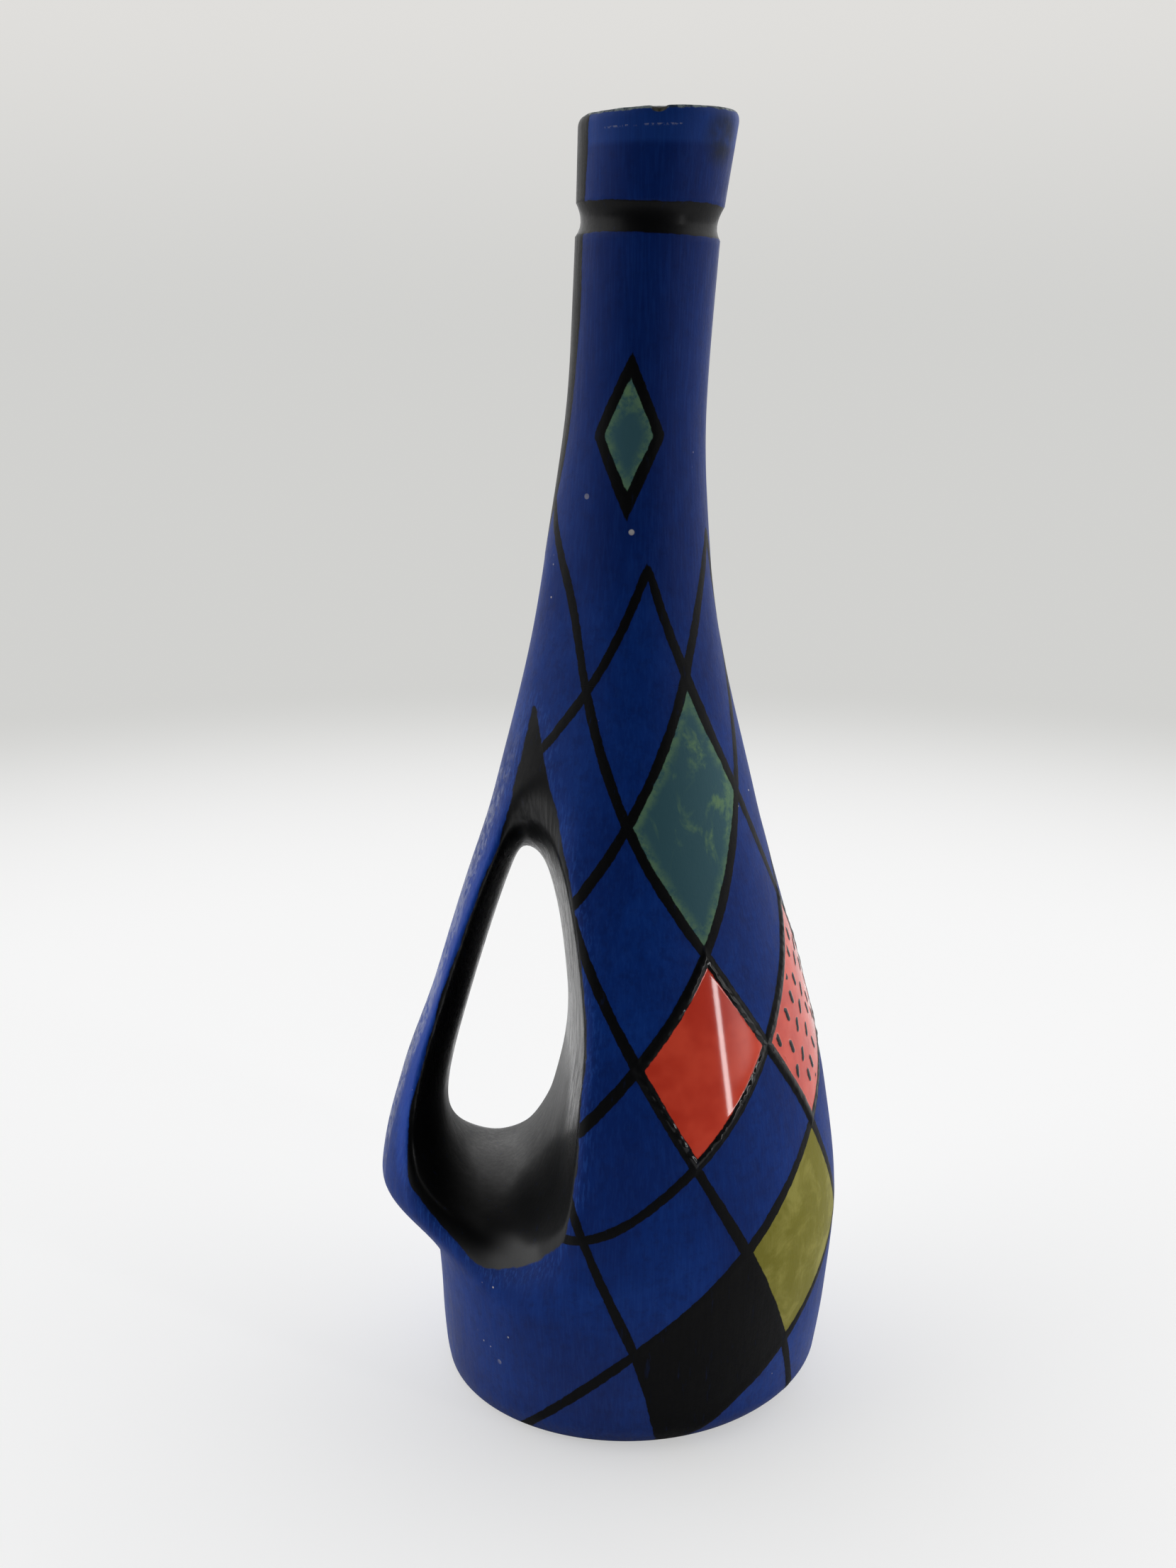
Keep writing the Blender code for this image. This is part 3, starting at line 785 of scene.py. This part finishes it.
def take_skin(skin, depth):
    """An editable shape in place of a skin. The painting's depths and the skin's normals are stored at its
    vertices, so that cuts carry them along."""
    choose_glazes(skin, depth)
    normals = vectors(skin.vertex_normals, "vector")
    for name, value in depth.items():
        layer = skin.attributes.new(name, "FLOAT", "POINT")
        layer.data.foreach_set("value", np.clip(value, -30, 30).astype(np.float32))
    layer = skin.attributes.new("skin_normal", "FLOAT_VECTOR", "POINT")
    layer.data.foreach_set("vector", normals.astype(np.float32).ravel())
    shape = bmesh.new()
    shape.from_mesh(skin)
    bpy.data.meshes.remove(skin)
    shape.faces.layers.int.new("cap")
    return shape


def profile_rings(profile, steps):
    """The rings of points of a profile of (height, inset) pairs, and the inset at each point."""
    angle = 2 * pi * np.arange(steps) / steps
    z = np.array([p[0] for p in profile])[:, None] + 0 * angle
    inset = np.array([p[1] for p in profile])[:, None] + 0 * angle
    return ring_points(z, angle + 0 * z, inset), inset.ravel()


def make_tube(name, node, profile, inner, materials):
    """A hollow section from the heights and insets of its skin's rings and of its inside's, both upward."""
    collar = name == "painted_collar"
    steps = COLLAR_STEPS if collar else TURN_STEPS
    rings, inset = profile_rings(profile, steps)
    points = rings.reshape(-1, 3)
    skin = as_mesh("skin", points, loft_faces(len(profile), steps))
    depth = painting(points)
    lifted = points + vectors(skin.vertex_normals, "vector") * raised(points, depth)[:, None]
    if collar:
        outside = ramp(-inset, -0.55 * WALL, -0.2 * WALL)
        uneven = RIM_UNEVEN * ramp(depth["rim"], -1.5, 0.6) * (1 + wave(points, 9, 11)) / 2
        lifted[:, 2] -= depth["chip"] * outside + uneven
        depth["chip"] *= outside
    move(skin, lifted)
    shape = take_skin(skin, depth)
    flat = shape.faces.layers.int["cap"]
    outer = list(shape.verts)
    trimmed = outer[steps:]
    if not collar:
        trimmed = outer[steps:-steps]
        bmesh.ops.delete(shape, geom=outer[-steps:], context="VERTS")
    bmesh.ops.delete(shape, geom=outer[:steps], context="VERTS")
    verts = add_inner(shape, profile_rings(inner, steps)[0])
    for first, second, upward in ((trimmed[:steps], verts[:steps], False),
                                  (trimmed[-steps:], verts[-steps:], True)):
        joined = upward and collar
        for k in range(steps):
            n = (k + 1) % steps
            quad = (first[k], first[n], second[n], second[k])
            face = shape.faces.new(quad if upward else quad[::-1])
            face.material_index = INSIDE
            face[flat] = 0 if joined else 1
    finish_shape(shape, name, [node], materials)


def rises(low, high, step=RISE_STEP):
    count = max(1, round((high - low) / step))
    return [low + (high - low) * k / count for k in range(count + 1)]


def make_sections(materials):
    """The shoulder, neck and collar. A ring beyond each end that joins another piece is there for the normals
    alone."""
    for name, node, low, high in (("painted_shoulder", "shoulder", SHOULDER_Z, NECK_Z),
                                  ("painted_neck", "neck", NECK_Z, GROOVE_Z)):
        levels = rises(low, high)
        step = levels[1] - levels[0]
        profile = [(z, 0.0) for z in [low - step, *levels, high + step]]
        make_tube(name, node, profile, [(z, WALL) for z in rises(low, high, INNER_RISE)], materials)
    brow = RIM_Z - RIM_DROP
    levels = rises(GROOVE_Z, brow, COLLAR_RISE)
    profile = [(z, 0.0) for z in [GROOVE_Z - COLLAR_RISE, *levels]]
    turns = [pi / 2 * k / RIM_STEPS for k in range(1, RIM_STEPS + 1)]
    profile += [(brow + RIM_DROP * sin(a), RIM_ROUND * (1 - cos(a))) for a in turns]
    profile += [(brow + RIM_DROP * sin(a), WALL - RIM_ROUND * (1 - cos(a))) for a in reversed(turns)]
    profile += [(brow - COLLAR_RISE * k, WALL) for k in range(3)]
    inner = [(z, WALL) for z in rises(GROOVE_Z, brow - 3.0, INNER_RISE / 2)]
    make_tube("painted_collar", "mouth_collar", profile, inner, materials)


def make_foot(materials):
    """The foot: a flat disc of bare clay with a rounded, glazed edge."""
    turns = [pi / 2 * k / FOOT_STEPS for k in range(FOOT_STEPS + 1)]
    profile = [(FOOT_ROUND * (1 - cos(a)), FOOT_ROUND * (1 - sin(a))) for a in turns]
    profile += [(z, 0.0) for z in FOOT_LEVELS]
    points = profile_rings(profile, TURN_STEPS)[0].reshape(-1, 3)
    skin = as_mesh("skin", points, loft_faces(len(profile), TURN_STEPS))
    shape = take_skin(skin, painting(points))
    bmesh.ops.delete(shape, geom=list(shape.verts)[-TURN_STEPS:], context="VERTS")
    cap(shape, 0.0, False, CLAY)
    cap(shape, FOOT_Z, True, INSIDE)
    finish_shape(shape, "painted_foot", ["foot"], materials)


class Nodes:
    """Builds the nodes of a material or a world from short calls."""

    def __init__(self, owner, space="Object"):
        owner.use_nodes = True
        self.tree = owner.node_tree
        self.place = self.new("TexCoord").outputs[space]
        self.shader = self.tree.nodes.get("Principled BSDF")

    def new(self, kind):
        return self.tree.nodes.new("ShaderNode" + kind)

    def put(self, socket, value):
        if isinstance(socket, str):
            socket = self.shader.inputs[socket]
        if isinstance(value, bpy.types.NodeSocket):
            self.tree.links.new(value, socket)
        elif isinstance(value, (tuple, list)) and len(value) == 3 and socket.type == "RGBA":
            socket.default_value = (*value, 1.0)
        else:
            socket.default_value = value

    def math(self, operation, *values):
        node = self.new("Math")
        node.operation = operation
        for socket, value in zip(node.inputs, values):
            self.put(socket, value)
        return node.outputs[0]

    def times(self, *values):
        total = values[0]
        for value in values[1:]:
            total = self.math("MULTIPLY", total, value)
        return total

    def most(self, *values):
        total = values[0]
        for value in values[1:]:
            total = self.math("MAXIMUM", total, value)
        return total

    def rest(self, value):
        """What a share leaves of 1."""
        return self.math("SUBTRACT", 1.0, value)

    def inside(self, depth, wobble, reach=0.14):
        """1 inside a painted part and 0 outside it, with a wobble to its edge."""
        return self.span(self.math("ADD", depth, wobble), -reach, reach)

    def camera_ray(self):
        """1 on what the camera sees by itself, and 0 in mirrored and scattered light."""
        return self.new("LightPath").outputs["Is Camera Ray"]

    def axis(self, name):
        node = self.new("SeparateXYZ")
        self.put(node.inputs[0], self.place)
        return node.outputs[name]

    def depth(self, name):
        node = self.new("Attribute")
        node.attribute_name = name
        return node.outputs["Fac"]

    def stretched(self, x, y, z):
        node = self.new("Mapping")
        node.inputs["Scale"].default_value = (x, y, z)
        self.put(node.inputs["Vector"], self.place)
        return node.outputs[0]

    def noise(self, scale, detail=3.0, rough=0.55, vector=None, turn=0.0):
        node = self.new("TexNoise")
        self.put(node.inputs["Vector"], self.place if vector is None else vector)
        for key, item in (("Scale", scale), ("Detail", detail), ("Roughness", rough), ("Distortion", turn)):
            node.inputs[key].default_value = item
        return node.outputs["Fac"]

    def cells(self, scale):
        """Distance to the nearest of the points scattered through the object."""
        node = self.new("TexVoronoi")
        self.put(node.inputs["Vector"], self.place)
        node.inputs["Scale"].default_value = scale
        return node.outputs["Distance"]

    def span(self, value, low, high, start=0.0, end=1.0):
        """A smooth step from start to end while a value goes from low to high."""
        node = self.new("MapRange")
        node.interpolation_type = "SMOOTHSTEP"
        limits = (("Value", value), ("From Min", low), ("From Max", high), ("To Min", start), ("To Max", end))
        for key, item in limits:
            self.put(node.inputs[key], item)
        return node.outputs[0]

    def mix(self, share, first, second):
        node = self.new("Mix")
        node.data_type = "RGBA"
        for key, item in (("Factor_Float", share), ("A_Color", first), ("B_Color", second)):
            self.put(next(i for i in node.inputs if i.identifier == key), item)
        return next(o for o in node.outputs if o.identifier == "Result_Color")

    def blend(self, share, first, second):
        return self.math("ADD", self.times(self.rest(share), first), self.times(share, second))

    def bump(self, height, distance, normal=None):
        node = self.new("Bump")
        node.inputs["Strength"].default_value = 1.0
        node.inputs["Distance"].default_value = distance
        self.put(node.inputs["Height"], height)
        if normal is not None:
            self.put(node.inputs["Normal"], normal)
        return node.outputs[0]


DEEP_BLUE = (0.0008, 0.0160, 0.122)
COBALT = (0.0012, 0.0250, 0.172)
NIGHT_BLUE = (0.0006, 0.0100, 0.080)
BRIGHT_BLUE = (0.0020, 0.0420, 0.330)
PALE_BLUE = (0.012, 0.058, 0.280)
BLACK = (0.0012, 0.0014, 0.0018)
RED = (0.68, 0.062, 0.028)
DEEP_RED = (0.54, 0.034, 0.014)
TEAL = (0.032, 0.088, 0.108)
SEA_GREEN = (0.110, 0.205, 0.105)
OLIVE = (0.170, 0.155, 0.020)
PALE_OLIVE = (0.255, 0.235, 0.050)
SPECK = (0.55, 0.53, 0.48)
SMUDGE = (0.006, 0.010, 0.022)
# The grey painted sheen along the handle's crest
PAINTED_SHEEN_BLUE = (0.110, 0.125, 0.165)
DARK_RIM = (0.020, 0.030, 0.032)
WORN_RIM = (0.210, 0.250, 0.220)
CHIPPED = (0.030, 0.030, 0.022)
BARE_CLAY = (0.62, 0.45, 0.33)
DARK_CLAY = (0.42, 0.27, 0.18)
INNER_DARK = (0.006, 0.008, 0.014)
INNER_PALE = (0.02, 0.03, 0.05)
BLACK_PARTS = ("line_rising", "line_falling", "trim", "band", "dash", "dark")


def blue_glaze(n, height, streak, hair, loose):
    """The blue between the lines: its colour with a grey painted sheen over the handle's crest, its flecks,
    the crest and where that is mottled.
    """
    cloud = n.noise(30, 5, 0.6, turn=0.8)
    tone = n.math("ADD", n.times(streak, 0.3), n.times(cloud, 0.7))
    blue = n.mix(n.span(tone, 0.36, 0.60), DEEP_BLUE, COBALT)
    blue = n.mix(n.times(n.span(tone, 0.54, 0.72), 0.3), blue, PALE_BLUE)
    # Darker up the neck and in small patches, brighter on the lower handle
    blue = n.mix(n.times(n.span(height, 0.17, 0.29), 0.55), blue, NIGHT_BLUE)
    blue = n.mix(n.times(n.span(n.noise(330, 5, 0.72), 0.46, 0.66), 0.45), blue, NIGHT_BLUE)
    strap = n.times(n.span(n.depth("crest"), -14.0, -6.0), n.span(n.depth("scoop"), -5.0, -1.5))
    blue = n.mix(n.times(strap, n.span(height, 0.185, 0.150), 0.55), blue, BRIGHT_BLUE)
    # Brushed thin, most of all beside the scoop, and paler under the rim
    dry = n.span(n.depth("scoop"), -6.0, -0.5)
    brushed = n.times(n.span(hair, 0.46, 0.66), n.blend(dry, 0.14, 0.6))
    blue = n.mix(brushed, blue, PALE_BLUE)
    blue = n.mix(n.times(n.span(height, 0.3405, 0.3425), 0.35), blue, PALE_BLUE)
    smudge = n.times(n.span(n.depth("smudge"), 0.0, 6.0), n.span(n.noise(110, 5, 0.6), 0.20, 0.56))
    blue = n.mix(n.times(smudge, 0.85), blue, SMUDGE)
    # A mottled grey painted sheen along the handle's crest
    crest = n.span(n.math("ADD", n.depth("crest"), loose), -0.5, 4.0)
    patchy = n.math("ADD", n.times(n.noise(420, 5, 0.75), 0.5), n.times(n.math("ADD", hair, cloud), 0.25))
    mottled = n.times(crest, n.span(patchy, 0.44, 0.58))
    blue = n.mix(n.times(mottled, 0.16), blue, PAINTED_SHEEN_BLUE)
    # Pale specks in two sizes, in loose groups, and the broken scratch on the collar
    speck = n.times(n.span(n.cells(230), 0.080, 0.05), n.span(n.noise(33, 2), 0.61, 0.67))
    flake = n.times(n.span(n.cells(72), 0.065, 0.045), n.span(n.noise(19, 2), 0.60, 0.66))
    broken = n.span(n.noise(950, 2, 0.6), 0.47, 0.57)
    scratch = n.times(n.span(n.depth("scratch"), 0.0, 0.25), broken, 0.45)
    fleck = n.most(speck, flake, scratch)
    return n.mix(fleck, blue, SPECK), fleck, crest, mottled


def teal_glaze(n, part, loose):
    """Dark teal that runs to green in clouds and along the edges of its cells."""
    tone = n.noise(1.0, 4, 0.6, n.stretched(90, 90, 46), turn=0.8)
    near_edge = n.span(n.math("ADD", part, loose), 4.5, 1.2)
    green = n.most(n.span(tone, 0.52, 0.66), n.times(near_edge, 0.8))
    return n.mix(n.times(green, n.span(n.noise(300, 4, 0.7), 0.30, 0.60)), TEAL, SEA_GREEN)


def scoop_shine(n, height, streak, hair):
    """How strongly the scoop's black shines: in streaks beside the opening, and in a few places below it."""
    hollow = n.depth("hollow")
    streaky = n.span(n.math("ADD", n.times(hair, 0.5), n.times(streak, 0.5)), 0.40, 0.60, 0.4, 1.0)
    streaky = n.times(streaky, n.span(height, 0.152, 0.166, 1.0, 0.55))
    edge_shine = n.span(hollow, 9.0, 15.0, 0.0, 0.38)
    below = n.math("SUBTRACT", n.span(hollow, 22.0, 31.0, 0.42, 0.50), edge_shine)
    saddle = n.times(n.span(hollow, 12.0, 22.0), n.span(height, 0.112, 0.090))
    beside = n.times(n.span(height, 0.072, 0.100), n.span(saddle, 0.0, 1.0, 1.0, 0.35))
    return n.times(n.span(hollow, 0.2, 2.0), n.blend(beside, below, streaky))


def painted(name, coat_rough):
    """The painting over a matte blue glaze, with a clear coat of its own roughness where it shines: over the
    scoop, the groove and the enamel, and faintly where the handle and the foot are rubbed."""
    material = bpy.data.materials.new(name)
    n = Nodes(material)
    ragged = n.times(n.math("SUBTRACT", n.noise(420, 4, 0.6), 0.5), 0.9)
    loose = n.times(n.math("SUBTRACT", n.noise(160, 4, 0.6), 0.5), 2.4)
    height = n.axis("Z")
    streak = n.noise(1.0, 5, 0.62, n.stretched(620, 620, 60))
    hair = n.noise(1.0, 3, 0.6, n.stretched(1500, 1500, 90))
    grain = n.noise(1400, 3, 0.6)
    colour, fleck, crest, mottled = blue_glaze(n, height, streak, hair, loose)

    teal_part = n.most(n.depth("teal"), n.depth("diamond"))
    colour = n.mix(n.inside(teal_part, ragged), colour, teal_glaze(n, teal_part, loose))
    olive = n.mix(n.span(n.noise(95, 4, 0.62, turn=0.5), 0.42, 0.68), OLIVE, PALE_OLIVE)
    colour = n.mix(n.inside(n.depth("olive"), ragged), colour, olive)
    enamel = n.span(n.depth("enamel"), -0.2, 0.2)
    colour = n.mix(enamel, colour, n.mix(n.span(n.noise(60, 3), 0.38, 0.66), DEEP_RED, RED))

    # Everything black: the lattice, the trim, the dark cells and the scoop
    outline = n.math("SUBTRACT", OUTLINE_HALF, n.math("ABSOLUTE", n.depth("enamel")))
    drawn = n.most(*(n.depth(part) for part in BLACK_PARTS), outline)
    scoop = n.inside(n.depth("scoop"), ragged, 0.2)
    black = n.most(n.inside(drawn, ragged), scoop)
    thin = n.times(n.span(streak, 0.60, 0.74), 0.08)
    colour = n.mix(black, colour, n.mix(thin, BLACK, PALE_BLUE))
    # A dark line where the foot meets the table, the worn rim and the chip
    colour = n.mix(n.times(n.span(height, 0.0016, 0.0006), 0.7), colour, BLACK)
    bare_edge = n.math("ADD", n.depth("rim"), n.math("ADD", n.times(loose, 0.7), ragged))
    edge_tone = n.mix(n.span(n.noise(480, 4, 0.7), 0.42, 0.62), DARK_RIM, WORN_RIM)
    colour = n.mix(n.times(n.span(bare_edge, -0.1, 0.35), 0.85), colour, edge_tone)
    colour = n.mix(n.span(n.depth("chip"), 0.05, 0.35), colour, CHIPPED)
    n.put("Base Color", colour)

    uneven = n.math("ADD", n.times(streak, 0.6), n.times(grain, 0.4))
    n.put("Roughness", n.span(uneven, 0.3, 0.7, 0.48, 0.62))
    n.put("Specular IOR Level", 0.08)
    polished = n.times(scoop, scoop_shine(n, height, streak, hair))
    band = n.times(n.inside(n.depth("band"), 0.0), 0.12)
    gloss = n.times(enamel, n.rest(n.times(black, 0.6)))
    rubbed = n.times(crest, n.span(mottled, 0.0, 1.0, 0.06, 0.62))
    rubbed = n.times(n.most(rubbed, n.span(height, 0.060, 0.0, 0.0, 0.2)), n.rest(black))
    n.put("Coat Weight", n.most(polished, band, gloss, rubbed))
    n.put("Coat Roughness", coat_rough)

    matte = n.rest(n.most(gloss, n.times(scoop, 0.75)))
    relief = n.math("ADD", n.times(hair, 0.6), n.times(grain, 0.5))
    relief = n.times(n.math("SUBTRACT", relief, n.times(fleck, 1.5)), matte)
    n.put("Normal", n.bump(n.noise(120, 3, 0.5), 0.00016, n.bump(relief, 0.00006)))
    return material


def inner_glaze():
    """Dark glaze inside, run thin and uneven."""
    material = bpy.data.materials.new("inner_glaze")
    n = Nodes(material)
    run = n.noise(1.0, 4, 0.6, n.stretched(120, 120, 14))
    n.put("Base Color", n.mix(n.span(run, 0.4, 0.7), INNER_DARK, INNER_PALE))
    n.put("Roughness", n.span(run, 0.3, 0.7, 0.3, 0.5))
    n.put("Normal", n.bump(run, 0.0002))
    return material


def bare_clay():
    """Fired clay with grog and a dusty bloom."""
    material = bpy.data.materials.new("bare_clay")
    n = Nodes(material)
    grit = n.noise(900, 4, 0.65)
    cloud = n.noise(50, 3)
    tone = n.math("ADD", n.times(grit, 0.5), n.times(cloud, 0.5))
    n.put("Base Color", n.mix(n.span(tone, 0.35, 0.65), DARK_CLAY, BARE_CLAY))
    n.put("Roughness", n.span(grit, 0.3, 0.7, 0.78, 0.95))
    n.put("Normal", n.bump(grit, 0.00012))
    return material


# The floor's reach in metres and its whiteness, and how much of it glows by itself for the camera alone
FLOOR_REACH = 8.0
FLOOR_STEPS = 32
FLOOR_WHITE = 0.93
FLOOR_GLOW = 0.5
# In front of the jug the floor is dark to all but the camera, from one distance to another
PAPER_END = -0.30
PAPER_GONE = -0.55
# The distances at which the floor starts to grey and has turned into the backdrop
FOLD_START = 0.40
FOLD_END = 1.05
WALL_LOW = (0.64, 0.64, 0.625)
WALL_HIGH = (0.75, 0.74, 0.72)
# The light of the room, and how far round the jug it reaches on the left and on the right
ROOM_BRIGHT = 2.35
ROOM_DARK = 0.02
LEFT_SHARE = 0.70
RIGHT_SHARE = 0.45
LAMP_PLACE = (0.70, -0.50, 0.26)
LAMP_AIM = (0.02, -0.04, 0.12)
LAMP_SIZE = (0.05, 0.5)
LAMP_POWER = 1.0
CAMERA_PLACE = (-0.0124, -0.460, 0.2925)
CAMERA_DOWN = 14.35
CAMERA_LENS = 39.06


def make_floor():
    """A wide pale floor that keeps the object's shadow and greys into the backdrop all round it."""
    shape = bmesh.new()
    bmesh.ops.create_grid(shape, x_segments=FLOOR_STEPS, y_segments=FLOOR_STEPS, size=FLOOR_REACH)
    mesh = bpy.data.meshes.new("floor")
    shape.to_mesh(mesh)
    shape.free()
    material = bpy.data.materials.new("pale_floor")
    n = Nodes(material)
    white = (FLOOR_WHITE,) * 3
    camera_ray = n.camera_ray()
    ends = n.times(n.span(n.axis("Y"), PAPER_END, PAPER_GONE), n.rest(camera_ray))
    n.put("Base Color", n.mix(ends, white, (ROOM_DARK,) * 3))
    n.put("Roughness", 0.9)
    n.put("Specular IOR Level", 0.0)
    away = n.new("VectorMath")
    away.operation = "LENGTH"
    n.put(away.inputs[0], n.place)
    far = n.span(away.outputs["Value"], FOLD_START, FOLD_END)
    glow = n.new("Emission")
    glow.inputs["Strength"].default_value = 1.0
    n.put(glow.inputs["Color"], n.mix(far, white, WALL_LOW))
    mixed = n.new("MixShader")
    n.put(mixed.inputs[0], n.times(n.blend(far, FLOOR_GLOW, 1.0), camera_ray))
    n.put(mixed.inputs[1], n.shader.outputs[0])
    n.put(mixed.inputs[2], glow.outputs[0])
    n.put(n.tree.nodes["Material Output"].inputs["Surface"], mixed.outputs[0])
    mesh.materials.append(material)
    add_object("floor", mesh)


def make_world():
    """A bright soft room that is dark in front of the jug, seen by the camera as a pale backdrop."""
    world = bpy.data.worlds.new("studio")
    bpy.context.scene.world = world
    n = Nodes(world, "Generated")
    across = n.axis("X")
    up = n.axis("Z")
    aside = n.most(n.times(across, -LEFT_SHARE), n.times(across, RIGHT_SHARE))
    behind = n.span(n.math("ADD", n.axis("Y"), aside), -0.3, 0.35)
    around = n.times(behind, n.span(up, 0.97, 0.6))
    room = n.mix(around, (ROOM_DARK,) * 3, (ROOM_BRIGHT,) * 3)
    backdrop = n.mix(n.span(up, 0.0, 0.2), WALL_LOW, WALL_HIGH)
    ground = n.tree.nodes["Background"]
    n.put(ground.inputs["Color"], n.mix(n.camera_ray(), room, backdrop))
    ground.inputs["Strength"].default_value = 1.0


def make_lamp():
    """A narrow upright lamp that draws the thin highlight down the enamel."""
    lamp = bpy.data.lights.new("strip", "AREA")
    lamp.shape = "RECTANGLE"
    lamp.size = LAMP_SIZE[0]
    lamp.size_y = LAMP_SIZE[1]
    lamp.energy = LAMP_POWER
    light = add_object("strip", lamp)
    light.location = LAMP_PLACE
    light.rotation_euler = (Vector(LAMP_AIM) - Vector(LAMP_PLACE)).to_track_quat("-Z", "Y").to_euler()


def make_camera():
    lens = bpy.data.cameras.new("camera")
    lens.lens = CAMERA_LENS
    lens.sensor_width = 36.0
    lens.sensor_fit = "AUTO"
    lens.clip_start = 0.01
    camera = add_object("camera", lens)
    camera.location = CAMERA_PLACE
    camera.rotation_euler = (radians(90 - CAMERA_DOWN), 0, 0)
    bpy.context.scene.camera = camera


skins = [painted("painted_glaze", 0.25), inner_glaze(), bare_clay(), painted("raised_enamel", 0.08)]
make_belly_and_handle(skins)
make_sections(skins)
make_foot(skins)
make_floor()
make_world()
make_lamp()
make_camera()
bpy.context.scene.view_settings.view_transform = "Standard"
